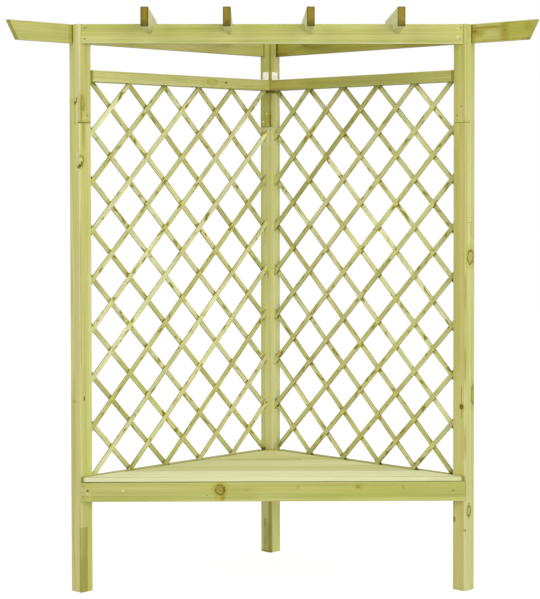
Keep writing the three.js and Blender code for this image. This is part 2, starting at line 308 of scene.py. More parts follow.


# A slat's attribute weave holds, first, its place among the slats that cross it, a whole number on each one's
# middle line and rising towards its open side, then the height below the rail, and last how much painted
# shade it takes, from 0 to 1 on the back layer and from 0 to -1 on the front one.
slatLook = {
    "underEdge": (-0.004, -0.001),      # where the painted shade starts, under the edge of the slat that crosses in front
    "contactShade": (0.35, 0.95),            # least and most painted shade beside it
    "contactReach": 0.011,
    "cornerReach": 0.0045,
    # painted shade at the feet of the back layer, and painted shadow under the rail
    "foot": 0.85,
    "footHeight": 0.010,
    "top": 0.75,
    "topHeight": 0.014,
    "topShare": (0.4, 0.6),             # on every slat, and more on one that takes more painted shade
    "spot": 0.75,
    "spotRadius": (0.0048, 0.012),
    # painted shade on the slats' long sides
    "sideShade": 0.85,
    "sideShadeShare": (0.35, 0.65),
    "sideShadeBands": ((12, 1, 1), 0.8),
    "bands": ((6, 20, 20), 0.95),
    "patches": ((22, 60, 60), 0.95),
    "patchStep": (0.085, 0.16),
    "chanceStep": 53.7,                 # sets the chances of one slat apart from those of the next
}


def slatStainsAndShade(wire, place, colour, panel):
    look = slatLook
    pale, brown, dark, yellow = [pineLook[name] for name in ("pale", "brown", "dark", "yellow")]
    line, drop, kind = attribute(wire, "weave").parts()
    under = kind.math("GREATER_THAN", kind, 0)      # 1 on the slats of the back layer
    stainedAndShaded = abs(kind)
    number = line.math("ROUND", line)
    fromMiddle = (line - number) * panel["spacing"]
    beside = fromMiddle - slats["width"] / 2
    chance = (number + stainedAndShaded * look["chanceStep"]).chance()
    colour = colour.mixed(pale, attribute(wire, "bleach", "Fac"))
    stretch, size = look["bands"]
    colour = colour.scaled(1 + place.noise(stretch) * size)
    stretch, size = look["patches"]
    colour = colour.mixed(brown, place.noise(stretch, 3).smooth(*look["patchStep"]) * size)
    spot = 1 - abs(fromMiddle).smooth(*look["spotRadius"])
    colour = colour.mixed(yellow, spot * (1 - under) * chance * look["spot"])
    # painted shade on the back layer beside each slat that crosses in front, darkest in the corner
    crossed = beside.smooth(*look["underEdge"]) * under
    contactShade = crossed * (1 - beside.smooth(0, look["contactReach"]))
    least, most = look["contactShade"]
    colour = colour.mixed(brown, contactShade * (least + (most - least) * chance))
    colour = colour.mixed(dark, crossed * (1 - beside.smooth(0, look["cornerReach"])) * chance)
    # painted shadow under the rail, on both layers
    least, more = look["topShare"]
    top = (1 - drop.smooth(0, look["topHeight"])) * (least + more * stainedAndShaded)
    colour = colour.mixed(brown, top * look["top"])
    # painted shade at the feet of the back layer
    foot = drop.smooth(panel["height"] - look["footHeight"], panel["height"]) * under
    colour = colour.mixed(dark, foot * look["foot"])
    # painted shade on the long sides, more on some slats
    least, more = look["sideShadeShare"]
    stretch, size = look["sideShadeBands"]
    sideShade = attribute(wire, "sideShade", "Fac") * (least + more * stainedAndShaded + place.noise(stretch) * size)
    return colour.mixed(brown, sideShade * look["sideShade"])


def pineMaterial(name, marks=(), panel=None, endShare=pineLook["endShare"]):
    look = pineLook
    material, shader, wire = blankMaterial(name)
    place = attribute(wire, "timber")
    along, across, depth = place.parts()
    lightness, tanShare, contrast = attribute(wire, "shade").parts()
    arris = attribute(wire, "arris", "Fac")
    endGrain = attribute(wire, "endGrain", "Fac")
    knots = [(mark, *knotField(place, mark)) for mark in marks if mark["kind"] == "knot"]

    # Growth rings: the distance from the heart, bent by slow waves and pushed aside by the knots
    waves, waveSize = look["waves"]
    ripples, rippleSize = look["ripples"]
    radius = (across * across + depth * depth) ** 0.5
    radius = radius + place.noise(waves) * waveSize + place.noise(ripples) * rippleSize
    for mark, distance, near in knots:
        push = (1 - distance.smooth(*knotLook["push"])) * near
        radius = radius + push * (knotLook["bulge"] * mark["size"])
    ring = radius / look["ringWidth"]
    phase = ring.math("FRACT", ring)
    least, more = look["lateChance"]
    late = phase.smooth(*look["lateStart"]) * (1 - phase.smooth(*look["lateEnd"]))
    late = late * (least + more * ring.math("FLOOR", ring).chance())

    bands = [place.noise(stretch, detail) * size for stretch, detail, size in look["bands"]]
    fine, fibres = bands[2], bands[3]
    tone = 1 + bands[0] + bands[1] + fine + fibres

    colour = wire.blend(look["early"], look["late"], late * contrast)
    stretch, step = look["greenPatches"]
    colour = colour.mixed(look["green"], place.noise(stretch, 3).smooth(*step) * look["greenShare"])
    stretch, step = look["tanPatches"]
    colour = colour.mixed(look["tan"], place.noise(stretch).smooth(*step) * tanShare)
    colour = colour.scaled(tone * lightness)

    stretch, size = look["ragged"]
    ragged = 1 + place.noise(stretch) * size

    # applies the marks of one kind: stains, and painted light and shade alike
    def stainedAndShaded(colour, kind):
        for mark in marks:
            if mark["kind"] == kind:
                colour = colour.mixed(look[mark["colour"]], stainAndShadeField((along, across, depth), ragged, mark))
        return colour

    colour = stainedAndShaded(colour, "stainAndShade")
    dent = 0
    for mark, distance, near in knots:
        inside = (1 - distance.smooth(*knotLook["inside"])) * near
        rim = distance.smooth(*knotLook["rimStart"]) * (1 - distance.smooth(*knotLook["rimEnd"])) * near
        halo = (1 - distance.smooth(*knotLook["halo"])) * near
        turns = distance * knotLook["heartRings"]
        heartRings = turns.math("SINE", turns) * 0.5 + 0.5
        heart = wire.blend(look["knotHeart"], look["knotRim"], heartRings * knotLook["heartShare"])
        colour = colour.mixed(look["halo"], halo * mark["halo"])
        colour = colour.mixed(heart, inside * mark["fill"])
        colour = colour.mixed(look["knotRim"], rim * mark["rim"])
        dent = dent + rim * mark["rim"]
    for mark in marks:
        if mark["kind"] == "strip":
            colour = colour.mixed(look[mark["colour"]], stripField(place, mark))
    if panel:
        colour = slatStainsAndShade(wire, place, colour, panel)
    colour = colour.mixed(look["pale"], arris * look["arris"])
    colour = stainedAndShaded(colour, "late stain")
    colour = colour.mixed(look["endDark"], endGrain * (endShare + fine * look["endFine"]))
    colour = stainedAndShaded(colour, "end stain")

    plug(shader, "Base Color", colour.deepened(*look["deepened"]))
    plain, byLate, byFine, byEnds = look["roughness"]
    plug(shader, "Roughness", plain + late * byLate + fine * byFine + endGrain * byEnds)
    byFibres, byFine, byLate, byRims = look["relief"]
    height = fibres * byFibres + fine * byFine + late * byLate + dent * byRims
    relief = {"Strength": look["reliefStrength"], "Distance": look["reliefDepth"], "Height": height}
    plug(shader, "Normal", wire.make("ShaderNodeBump", {}, relief))
    shader.inputs["Specular IOR Level"].default_value = look["specular"]
    return material


# Zinc on steel: crystals in slightly different greys, with faint brushed patches
steelLook = {
    "patches": (90, 90, 90),
    "dim": 0.72,                   # the level of the darkest grey
    "dimBy": (0.5, 0.6),           # how much crystals and patches turn the colour to that grey
    "roughness": 0.4,
    "rougherBy": (0.12, 0.2),
    "metallic": 0.85,
    "reliefDepth": 0.0003,
    "reliefStrength": 0.2,
}


def steelMaterial(name, colour, spangle):      # the spangle is the number of crystals in a metre
    look = steelLook
    material, shader, wire = blankMaterial(name)
    place = wire.make("ShaderNodeTexCoord", {}, {}, "Object")
    crystals = wire.make("ShaderNodeTexVoronoi", {}, {"Vector": place, "Scale": spangle}, "Color")
    grain = crystals.parts()[0]
    dull = place.noise(look["patches"], 3)
    dim = [look["dim"] * part for part in colour]
    byGrain, byDull = look["dimBy"]
    plug(shader, "Base Color", wire.blend((*colour, 1), (*dim, 1), grain * byGrain + dull * byDull))
    byGrain, byDull = look["rougherBy"]
    plug(shader, "Roughness", look["roughness"] + grain * byGrain + dull * byDull)
    shader.inputs["Metallic"].default_value = look["metallic"]
    relief = {"Strength": look["reliefStrength"], "Distance": look["reliefDepth"], "Height": grain + dull}
    plug(shader, "Normal", wire.make("ShaderNodeBump", {}, relief))
    return material


def setAttribute(mesh, name, kind, domain, values):
    layer = mesh.attributes.new(name, kind, domain)
    field = "vector" if kind == "FLOAT_VECTOR" else "value"
    layer.data.foreach_set(field, np.asarray(values, np.float32).ravel())


def inScene(name, data):      # a new object for a mesh, a camera or a lamp
    item = bpy.data.objects.new(name, data)
    bpy.context.scene.collection.objects.link(item)
    return item


def addPiece(name, mesh, material, nodes):
    piece = inScene(name, mesh)
    mesh.materials.append(material)
    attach(piece, "root")
    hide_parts(*nodes)


def weldedSolid(node):      # the node's solid with its triangles joined and its flat faces made whole
    mesh = bpy.data.meshes.new(node)
    faces = [tuple(face.vertices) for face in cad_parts[node].data.polygons]
    mesh.from_pydata(coordinates(node), [], faces)
    work = bmesh.new()
    work.from_mesh(mesh)
    bpy.data.meshes.remove(mesh)
    bmesh.ops.remove_doubles(work, verts=work.verts, dist=weld)
    bmesh.ops.dissolve_limit(work, angle_limit=flatAngle, verts=work.verts, edges=work.edges)
    return work


def roundedMesh(name, work, edges, radius, steps):      # the solid with these edges rounded, in triangles
    rounded = bmesh.ops.bevel(
        work, geom=edges, offset=radius, offset_type="OFFSET", segments=steps,
        profile=0.5, affect="EDGES", clamp_overlap=True,
    )
    for face in rounded["faces"]:
        face.smooth = True
    bmesh.ops.triangulate(work, faces=work.faces)
    mesh = bpy.data.meshes.new(name)
    work.to_mesh(mesh)
    work.free()
    return mesh


def faceOutwards(mesh):
    work = bmesh.new()
    work.from_mesh(mesh)
    bmesh.ops.recalc_face_normals(work, faces=work.faces)
    work.to_mesh(mesh)
    work.free()


# A length of timber. Its frame is along the grain, across it and in depth, as three unit vectors.
timberLook = {
    "arris": 0.0022,
    "arrisSteps": 3,
    "heartSpread": (0.035, 0.075),      # how far the tree's heart lies from a piece's middle
    "grainStep": 10.0,                  # how far along the grain one seed lies from the next
    "endLean": 0.7,                     # a face is end grain if its normal is nearer to the grain than this
}


def timber(node, axes, shade, seed, arris=timberLook["arris"], marks=(), endShare=pineLook["endShare"]):
    rng = np.random.default_rng(seed)
    basis = np.array([tuple(axis) for axis in axes])
    reach = coordinates(node) @ basis.T
    middle = (reach.min(0) + reach.max(0)) / 2
    half = (reach.max(0) - reach.min(0)) / 2
    work = weldedSolid(node)

    def onArris(edge):      # a long outer edge that runs along the grain
        ends = np.array([tuple(vertex.co) for vertex in edge.verts]) @ basis.T - middle
        run = abs(ends[0, 0] - ends[1, 0])
        outer = np.abs(np.abs(ends[:, 1:]) - half[1:]).max() < weld
        return run > half[1] and outer and np.abs(ends[0, 1:] - ends[1, 1:]).max() < weld

    edges = [edge for edge in work.edges if onArris(edge)]
    mesh = roundedMesh(node + "_pine", work, edges, arris, timberLook["arrisSteps"])

    corners = np.empty(3 * len(mesh.vertices))
    mesh.vertices.foreach_get("co", corners)
    local = corners.reshape(-1, 3) @ basis.T - middle
    angle = rng.uniform(0, 2 * math.pi)
    away = rng.uniform(*timberLook["heartSpread"])
    heart = np.array([timberLook["grainStep"] * seed, away * math.cos(angle), away * math.sin(angle)])
    faces = len(mesh.polygons)
    normals = np.empty(3 * faces)
    mesh.polygons.foreach_get("normal", normals)
    smooth = np.empty(faces, bool)
    mesh.polygons.foreach_get("use_smooth", smooth)
    ends = np.abs(normals.reshape(-1, 3) @ basis[0]) > timberLook["endLean"]
    setAttribute(mesh, "timber", "FLOAT_VECTOR", "POINT", local + heart)
    setAttribute(mesh, "shade", "FLOAT_VECTOR", "POINT", np.tile(shade, (len(local), 1)))
    setAttribute(mesh, "arris", "FLOAT", "FACE", smooth)
    setAttribute(mesh, "endGrain", "FLOAT", "FACE", ends)

    placed = [settled(mark, heart, half) for mark in marks]
    material = pineMaterial(node + "_pine", placed, endShare=endShare) if placed else sharedPine
    addPiece(node + "_pine", mesh, material, [node])


sharedPine = pineMaterial("pine")

leftSide = {"across": (0.02, None)}      # the two faces of a post that look forwards
rightSide = {"depth": (0.02, None)}
arrisSide = {"across": (0.0225, None), "depth": (0.0225, None)}      # the arris between them
backFoot = (None, -0.475)      # along the back post's lower length: below the seat, and above it
backWall = (-0.475, None)

posts = {
    "axes": (up, leftWall, rightWall),
    "slot": "post_pine",
    "shades": {      # lightness, tan share and ring contrast
        "back_lower": (1.02, 0.10, 0.45), "back_upper": (1.08, 0.4, 0.6),
        "left_lower": (1.0, 0.45, 0.6), "left_upper": (1.03, 0.4, 0.8),
        "right_lower": (1.0, 0.45, 0.6), "right_upper": (0.97, 0.4, 0.7),
    },
    "marks": {
        "left_lower": [
            # tones of the faces, browner towards both ends and greener at the foot
            stainAndShade("peach", 0.55, depth=(0.001, 0.017), soft=0.005, **leftSide),
            stainAndShade("brown", 0.10, along=(None, -0.47), soft=0.006, **rightSide),
            stainAndShade("brown", 0.55, along=(0.70, None), across=(0, 0.016), soft=0.005, fade=0.03, **rightSide),
            stainAndShade("olive", 0.22, (None, 0.72), across=(-0.004, 0.018), soft=0.006, fade=0.1, **rightSide),
            stainAndShade("brown", 0.46, along=(None, -0.6475), across=(-0.004, None), **rightSide),
            stainAndShade("brown", 0.30, along=(None, -0.755), across=(-0.004, None), fade=0.02, **rightSide),
            stainAndShade("green", 0.50, along=(None, -0.645), across=(None, -0.006), soft=0.004, **rightSide),
            stainAndShade("brown", 0.40, along=(-0.085, 0.412), across=(0.0205, 0.0265), fade=0.06, **rightSide),
            # small marks above the seat
            stainAndShade("brown", 0.25, along=(-0.205, -0.194), depth=(-0.016, 0.006), soft=0.004, **leftSide),
            stainAndShade("dark", 0.90, along=(-0.195, -0.180), across=(0.0065, 0.0125), fade=0.004, **rightSide),
            stainAndShade("brown", 0.35, along=(-0.202, -0.196), depth=(-0.010, 0.000), **leftSide),
            # the knot below the splice, and what lies round it
            stainAndShade("pale", 0.60, along=(0.668, 0.688), depth=(0.0135, 0.020), soft=0.0035, **leftSide),
            stainAndShade("pale", 0.50, along=(0.622, 0.630), depth=(0.010, 0.020), soft=0.003, **leftSide),
            stainAndShade("early", 0.80, along=(0.652, 0.668), across=(0.0190, None), late=True, **rightSide),
            stainAndShade("pale", 0.50, along=(0.655, 0.664), across=(0.0160, 0.0240), late=True, **rightSide),
            stainAndShade("early", 0.80, (0.644, 0.675), depth=(0.0110, 0.0265), soft=0.003, late=True, **leftSide),
            stainAndShade("pale", 0.40, (0.668, 0.688), depth=(0.0135, 0.0200), soft=0.003, late=True, **leftSide),
            stainAndShade("dark", 0.90, (0.643, 0.656), (0.0125, 0.0205), (0.02, None), soft=0.0025, late=True),
            stainAndShade("dark", 0.90, (0.636, 0.645), (0.0180, None), (0.0225, None), soft=0.0025, late=True),
            stainAndShade("dark", 0.90, (0.630, 0.639), (0.0225, None), (0.0150, None), soft=0.0025, late=True),
            knot((0.6575, 0.0180, 0.027), 0.0108, turn=90, stretch=1.75, rim=0.60, fill=0.10, halo=0.35),
            # knots on the rear faces
            knot((-0.30, -0.027, 0.004), 0.008, turn=0),
            knot((0.25, 0.003, -0.027), 0.006, turn=90),
        ],
        "left_upper": [
            # tones of the faces
            stainAndShade("brown", 0.22, soft=0.006, **rightSide),
            stainAndShade("pale", 0.20, depth=(0.005, None), soft=0.003, **leftSide),
            stainAndShade("tan", 0.30, soft=0.006, **leftSide),
            # the splice's lower line
            stainAndShade("brown", 0.35, along=(0, 0.009), soft=0.003, fade=0.004, end=-1, **rightSide),
            stainAndShade("dark", 0.90, along=(0, 0.0030), soft=0.0008, end=-1, **rightSide),
            stainAndShade("brown", 0.35, along=(0, 0.0030), depth=(None, 0.02), soft=0.0008, end=-1, **leftSide),
            # cracks and a knot on the lap
            stainAndShade("brown", 0.60, along=(-0.172, -0.107), depth=(0.0038, 0.0062), soft=0.0012, **leftSide),
            stainAndShade("brown", 0.60, along=(-0.172, -0.130), across=(0.0155, 0.0190), fade=0.02, **rightSide),
            stainAndShade("dark", 0.70, (-0.103, -0.083), depth=(0.0090, 0.0160), soft=0.003, late=True, **leftSide),
            stainAndShade("dark", 0.95, (-0.1080, -0.0975), depth=(-0.016, 0.009), late=True, **leftSide),
            stainAndShade("brown", 0.45, (-0.175, -0.080), (0.0150, 0.0230), soft=0.003, fade=0.02, **rightSide),
            stainAndShade("brown", 0.60, (-0.150, -0.110), (0.0165, 0.0200), fade=0.02, **rightSide),
            knot((-0.1037, 0.0112, 0.027), 0.0100, turn=90, stretch=2.6, rim=0.30, fill=0.30, halo=0.30),
        ],
        "right_upper": [
            # a tone, the splice's lower line, and a knot on a rear face
            stainAndShade("brown", 0.27, soft=0.006, **leftSide),
            stainAndShade("brown", 0.25, along=(0, 0.009), soft=0.003, fade=0.004, end=-1, **rightSide),
            stainAndShade("dark", 0.50, along=(0, 0.0028), soft=0.0008, end=-1),
            knot((0.05, -0.027, 0.0), 0.006, turn=0),
        ],
        "right_lower": [
            # tones of the faces
            stainAndShade("tan", 0.35, soft=0.006, **leftSide),
            stainAndShade("brown", 0.36, along=(-0.10, None), soft=0.006, fade=0.1, **leftSide),
            stainAndShade("brown", 0.20, along=(None, -0.10), soft=0.006, fade=0.1, **leftSide),
            stainAndShade("peach", 0.40, along=(-0.10, 0.70), depth=(0.004, 0.018), soft=0.004, fade=0.1, **leftSide),
            stainAndShade("pale", 0.16, along=(None, -0.10), soft=0.006, fade=0.1, **rightSide),
            stainAndShade("green", 0.12, along=(-0.10, None), soft=0.006, fade=0.1, **rightSide),
            # round two of the knots
            stainAndShade("green", 0.30, along=(0.24, 0.37), across=(0.0215, None), fade=0.03, **rightSide),
            stainAndShade("brown", 0.55, along=(0.338, 0.438), across=(-0.0080, -0.0045), fade=0.02, **rightSide),
            stainAndShade("dark", 0.85, (-0.227, -0.213), depth=(0.0068, 0.0168), soft=0.003, late=True, **leftSide),
            # two lines across the right face, and darker stretches of the arris
            stainAndShade("brown", 0.35, along=(0.4538, 0.4562), across=(-0.02, 0.022), soft=0.0012, **rightSide),
            stainAndShade("brown", 0.35, along=(0.4353, 0.4377), across=(-0.02, 0.022), soft=0.0012, **rightSide),
            stainAndShade("brown", 0.45, along=(0.13, 0.246), depth=(0.0225, None), fade=0.03, **leftSide),
            stainAndShade("brown", 0.60, along=(-0.130, -0.013), depth=(0.0225, None), fade=0.03, **leftSide),
            stainAndShade("brown", 0.55, along=(-0.399, -0.301), depth=(0.0230, None), fade=0.03, **leftSide),
            stainAndShade("brown", 0.60, along=(-0.552, -0.473), depth=(0.0230, None), fade=0.02, **leftSide),
            # cracks above and below two of the knots, and dark spots
            stainAndShade("dark", 0.90, along=(-0.209, -0.150), depth=(0.0092, 0.0125), fade=0.014, **leftSide),
            stainAndShade("dark", 0.80, along=(-0.258, -0.226), depth=(0.0105, 0.0138), fade=0.008, **leftSide),
            stainAndShade("dark", 0.95, (-0.636, -0.618), depth=(-0.0245, -0.0165), soft=0.003, **leftSide),
            stainAndShade("dark", 0.60, along=(-0.666, -0.657), depth=(0.0230, None), soft=0.003, **leftSide),
            stainAndShade("dark", 0.70, along=(-0.578, -0.566), across=(0.0012, 0.0055), **rightSide),
            stainAndShade("brown", 0.60, along=(-0.624, -0.608), across=(0.0015, 0.0050), **rightSide),
            # knots, the last two on the rear faces
            knot((0.3124, -0.0036, 0.027), 0.0170, turn=90, stretch=1.45, rim=0.80, fill=0.22, halo=0.4),
            knot((-0.2199, 0.027, 0.0118), 0.0078, turn=0, stretch=1.15, rim=1.0, fill=1.0, halo=0.7),
            knot((-0.1807, -0.0170, 0.027), 0.0085, turn=90, stretch=3.9, rim=0.55, fill=0.30, halo=0.5),
            knot((-0.5953, 0.0032, 0.027), 0.0105, turn=90, stretch=1.6, rim=0.80, fill=0.20, halo=0.3),
            knot((0.10, 0.004, -0.027), 0.009, turn=90),
            knot((-0.45, -0.027, -0.006), 0.006, turn=0),
        ],
        "back_lower": [
            # tones of the faces, and painted light on the foot below the seat, where the seat's shade falls
            stainAndShade("pale", 0.17, along=backWall, soft=0.006, **rightSide),
            stainAndShade("yellow", 0.20, soft=0.006, **leftSide),
            stainAndShade("yellow", 0.12, along=backWall, soft=0.006, **rightSide),
            stainAndShade("paintedLightGreen", 0.88, along=backFoot, soft=0.006, **rightSide),
            stainAndShade("paintedLightGreen", 0.45, along=backFoot, depth=(None, 0.014), soft=0.006, **leftSide),
            # darker on the foot, at its bottom and along the arris
            stainAndShade("brown", 0.55, along=backFoot, depth=(0.015, None), soft=0.004, **leftSide),
            stainAndShade("brown", 0.35, (None, -0.75), depth=(-0.012, None), soft=0.006, fade=0.04, **leftSide),
            stainAndShade("brown", 0.45, (-0.781, -0.749), depth=(-0.011, -0.001), soft=0.004, **leftSide),
            stainAndShade("brown", 0.30, (-0.852, -0.820), depth=(-0.012, 0.002), soft=0.004, fade=0.01, **leftSide),
            stainAndShade("dark", 0.40, along=(None, -0.872), soft=0.003, **leftSide),
            stainAndShade("brown", 0.35, soft=0.003, late=True, **arrisSide),
            # a pale stretch at the splice's lower line, a dark mark, and knots on the rear faces
            stainAndShade("pale", 0.35, along=(0.73, 0.80), soft=0.02, **leftSide),
            stainAndShade("dark", 0.60, (0.205, 0.236), depth=(0.011, 0.016), soft=0.003, fade=0.01, **leftSide),
            knot((-0.05, -0.027, 0.004), 0.008, turn=0),
            knot((0.45, 0.003, -0.027), 0.007, turn=90),
        ],
        "back_upper": [
            # tones of the faces, darker below the top rails
            stainAndShade("olive", 0.55, along=(None, -0.035), soft=0.008, **leftSide),
            stainAndShade("olive", 0.35, along=(-0.035, None), soft=0.008, **leftSide),
            stainAndShade("olive", 0.30, across=(-0.005, None), soft=0.006, **rightSide),
            stainAndShade("brown", 0.25, along=(None, -0.120), soft=0.01, fade=0.03, **leftSide),
            # a painted shadow line at the top rails' lower edge, and the arris
            stainAndShade("dark", 0.90, along=(-0.036, -0.023), soft=0.004, late=True),
            stainAndShade("dark", 0.55, soft=0.003, late=True, **arrisSide),
            stainAndShade("dark", 0.60, along=(-0.165, -0.120), soft=0.003, late=True, **arrisSide),
            # the splice's lower line
            stainAndShade("pale", 0.60, along=(0, 0.0055), soft=0.0008, end=-1),
            stainAndShade("dark", 0.45, along=(0.0060, 0.0085), soft=0.0008, end=-1),
        ],
    },
}


def makePosts():
    for seed, (part, shade) in enumerate(posts["shades"].items(), 1):
        marks = posts["marks"][part]
        timber("post_" + part, posts["axes"], shade, seed, marks=marks)
    print("posts")


frontSide = {"depth": (None, -0.005)}      # the front face of the front beam and the apron
innerSide = {"depth": (0, None)}           # the inner face of a side beam or a rail, and the top of a board

beams = {
    "slot": "beam_pine",
    "shades": {"left": (0.74, 0.35, 0.60), "right": (0.75, 0.35, 0.60)},
    "front": (0.77, 0.12, 0.35),
    # the rafters are lighter as painted glare
    "rafter": (1.10, 0.3, 0.6),
    "seeds": {"side_beam_left": 11, "side_beam_right": 12, "front_beam": 13, "rafter": 14},
    "postShadow": (-0.002, 0.006),      # a painted shadow line where a side beam leaves its post
    "postPatch": 0.020,              # the brown patch beyond that line
    "endDepth": 0.0012,
    "endFade": 0.0004,
    "tipShare": {"left": 0.45, "right": 0.12},      # how dark the sawn ends of the side beams are
    "rafterEnds": (1.0, 0.95, 0.9, 0.8),      # how dark each rafter's sawn front end is, as end grain and painted shade
    "rafterStripe": 0.0055,
    "rafterRim": 0.0105,
    "rafterPaintedLight": ((-0.05, 0.05), -0.02),      # painted light round a rafter's foot, where the rafter's shade falls, from the foot's middle
    "rafterPaintedShade": ((0.001, 0.013), (-0.0075, -0.0035)),      # a small patch of painted shade under the foot
    "marks": {
        "side_beam_left": [
            # the tip
            stainAndShade("tan", 0.30, along=(0.46, None), across=(-0.004, 0.030), soft=0.02),
            stainAndShade("brown", 0.22, along=(0.375, 0.474), across=(0.0095, 0.0125), fade=0.02, **innerSide),
            # between the posts, dark beside the back post
            stainAndShade("tan", 0.40, along=(None, 0.30), fade=0.04, **innerSide),
            stainAndShade("brown", 0.45, along=(None, -0.605), fade=0.01, **innerSide),
            stainAndShade("dark", 0.85, along=(None, -0.5915), fade=0.004, **innerSide),
            # a knot on the outer face
            knot((0.20, -0.004, -0.011), 0.009, turn=90),
        ],
        "side_beam_right": [
            # the tip
            stainAndShade("olive", 0.25, along=(0.34, None), soft=0.01, **innerSide),
            stainAndShade("brown", 0.55, (0.490, 0.522), (-0.034, 0.034), soft=0.006, fade=0.012, **innerSide),
            stainAndShade("dark", 0.80, (0.362, 0.385), (0.002, 0.012), soft=0.004, fade=0.006, **innerSide),
            stainAndShade("pale", 0.18, (0.405, 0.480), (-0.018, 0.008), soft=0.006, fade=0.02, **innerSide),
            stainAndShade("brown", 0.75, (0.365, 0.486), (0.0150, 0.0225), soft=0.003, fade=0.03, **innerSide),
            stainAndShade("brown", 0.40, (0.365, 0.420), (-0.010, 0.0150), soft=0.006, fade=0.02, **innerSide),
            stainAndShade("brown", 0.35, (0.40, None), (None, -0.0230), soft=0.004, fade=0.02, **innerSide),
            stainAndShade("brown", 0.30, (0.50, None), (0.0240, None), soft=0.004, fade=0.02, **innerSide),
            stainAndShade("brown", 0.40, (0.592, 0.620), (-0.004, 0.030), soft=0.005, fade=0.012, **innerSide),
            stainAndShade("dark", 0.55, (0.578, None), (None, -0.0280), soft=0.004, fade=0.008),
            stainAndShade("olive", 0.35, along=(0.50, None), across=(None, 0.016), soft=0.02, fade=0.06, **innerSide),
            # between the posts, dark beside the back post
            stainAndShade("brown", 0.48, along=(None, 0.30), fade=0.04, **innerSide),
            stainAndShade("brown", 0.25, along=(None, -0.56), fade=0.05, **innerSide),
            stainAndShade("dark", 0.60, (None, -0.54), across=(0.020, None), soft=0.008, fade=0.05, **innerSide),
            stainAndShade("dark", 0.45, (None, -0.54), across=(None, -0.018), soft=0.008, fade=0.05, **innerSide),
            stainAndShade("dark", 0.95, along=(None, -0.5950), fade=0.005, **innerSide),
            # knots, one at the tip and one on the outer face
            knot((0.5076, 0.0041, 0.011), 0.0045, turn=90, stretch=1.6, rim=0.6, fill=0.5, halo=0.5),
            knot((-0.15, 0.002, -0.011), 0.010, turn=90),
        ],
        "front_beam": [
            # two long bands and a pale lower edge
            stainAndShade("brown", 0.18, across=(0.008, 0.0115), **frontSide),
            stainAndShade("brown", 0.12, across=(-0.004, 0.0035), **frontSide),
            stainAndShade("pale", 0.35, across=(None, -0.0315), soft=0.0015, **frontSide),
            # beside the screws
            stainAndShade("brown", 0.50, along=(-0.667, -0.652), across=(0.0205, 0.0245), soft=0.003, **frontSide),
            stainAndShade("pale", 0.40, along=(0.655, 0.662), across=(0.0150, 0.0215), soft=0.003, **frontSide),
            stainAndShade("pale", 0.60, along=(0.653, 0.660), across=(-0.0150, -0.0085), soft=0.003, **frontSide),
            stainAndShade("brown", 0.50, along=(0.666, 0.672), across=(0.019, 0.026), soft=0.003, **frontSide),
            # the mitred ends, and knots on the rear face
            stainAndShade("dark", 0.60, along=(0, 0.0022), soft=0.001, end=1),
            stainAndShade("brown", 0.30, along=(0, 0.0022), soft=0.001, end=-1),
            knot((0.33, -0.010, 0.011), 0.008, turn=90),
            knot((-0.42, 0.006, 0.011), 0.010, turn=90),
        ],
    },
}


def rafterMarks(darkness, half):      # mostly on its sawn front end
    face = {"along": (None, beams["endDepth"]), "end": -1, "fade": beams["endFade"]}
    stripe, rim = beams["rafterStripe"], beams["rafterRim"]
    under, over = -half, half      # the rafter's underside and top
    return [
        # the whole piece paler as painted glare, and its lower edge behind the end, painted light under it
        # near the end
        stainAndShade("pale", 0.40),
        stainAndShade("pale", 0.95, along=(0.001, 0.012), across=(None, under + 0.004), fade=0.003, end=-1),
        stainAndShade("olive", 0.65, (0.014, None), across=(None, under + 0.004), soft=0.003, fade=0.004, end=-1),
        stainAndShade("early", 0.85, (0.004, None), across=(None, under + 0.018), soft=0.004, fade=0.004, end=-1),
        # the end itself: heartwood between darker rims, darkened in part as painted shade
        stainAndShade("endBrown", 0.97 * darkness, **face),
        stainAndShade("endCore", 0.65, across=(0.4 * under, None), depth=(-stripe, stripe), soft=0.004, **face),
        stainAndShade("dark", 0.85 * darkness, depth=(rim, None), soft=0.0015, **face),
        stainAndShade("dark", 0.85 * darkness, depth=(None, -rim), soft=0.0015, **face),
        stainAndShade("dark", 0.75 * darkness, across=(over - 0.003, None), soft=0.0015, **face),
        # painted shade towards the bottom of the end
        stainAndShade("dark", 0.62 * darkness, across=(None, under + 0.022), soft=0.010, **face),
        stainAndShade("dark", 0.95 * darkness, across=(None, under + 0.009), soft=0.003, **face),
    ]


def besidePost(side, wall):      # where a side beam leaves its post, on the face that looks inwards: a brown patch and a painted shadow line
    post = span(f"post_{side}_upper", wall)[1] - sum(span(f"side_beam_{side}", wall)) / 2
    start, end = beams["postShadow"]
    return [
        stainAndShade("brown", 0.40, along=(post, post + beams["postPatch"]), soft=0.004, **innerSide),
        # the painted shadow line
        stainAndShade("dark", 0.75, along=(post + start, post + end), **innerSide),
    ]


def underRafter(index):      # on the front beam, where a rafter sits on it: painted light round the foot and painted shade under it
    beamLow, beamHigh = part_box("front_beam")
    low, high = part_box(f"rafter_{index}")
    x = (low.x + high.x) / 2
    foot = low.z - (beamLow.z + beamHigh.z) / 2
    light, drop = beams["rafterPaintedLight"]
    along, across = beams["rafterPaintedShade"]
    return [
        # painted light round the foot, then painted shade under it
        stainAndShade("early", 0.4, [x + place for place in light], (foot + drop, None), soft=0.02, **frontSide),
        stainAndShade("brown", 0.6, [x + place for place in along], [foot + place for place in across], **frontSide),
    ]


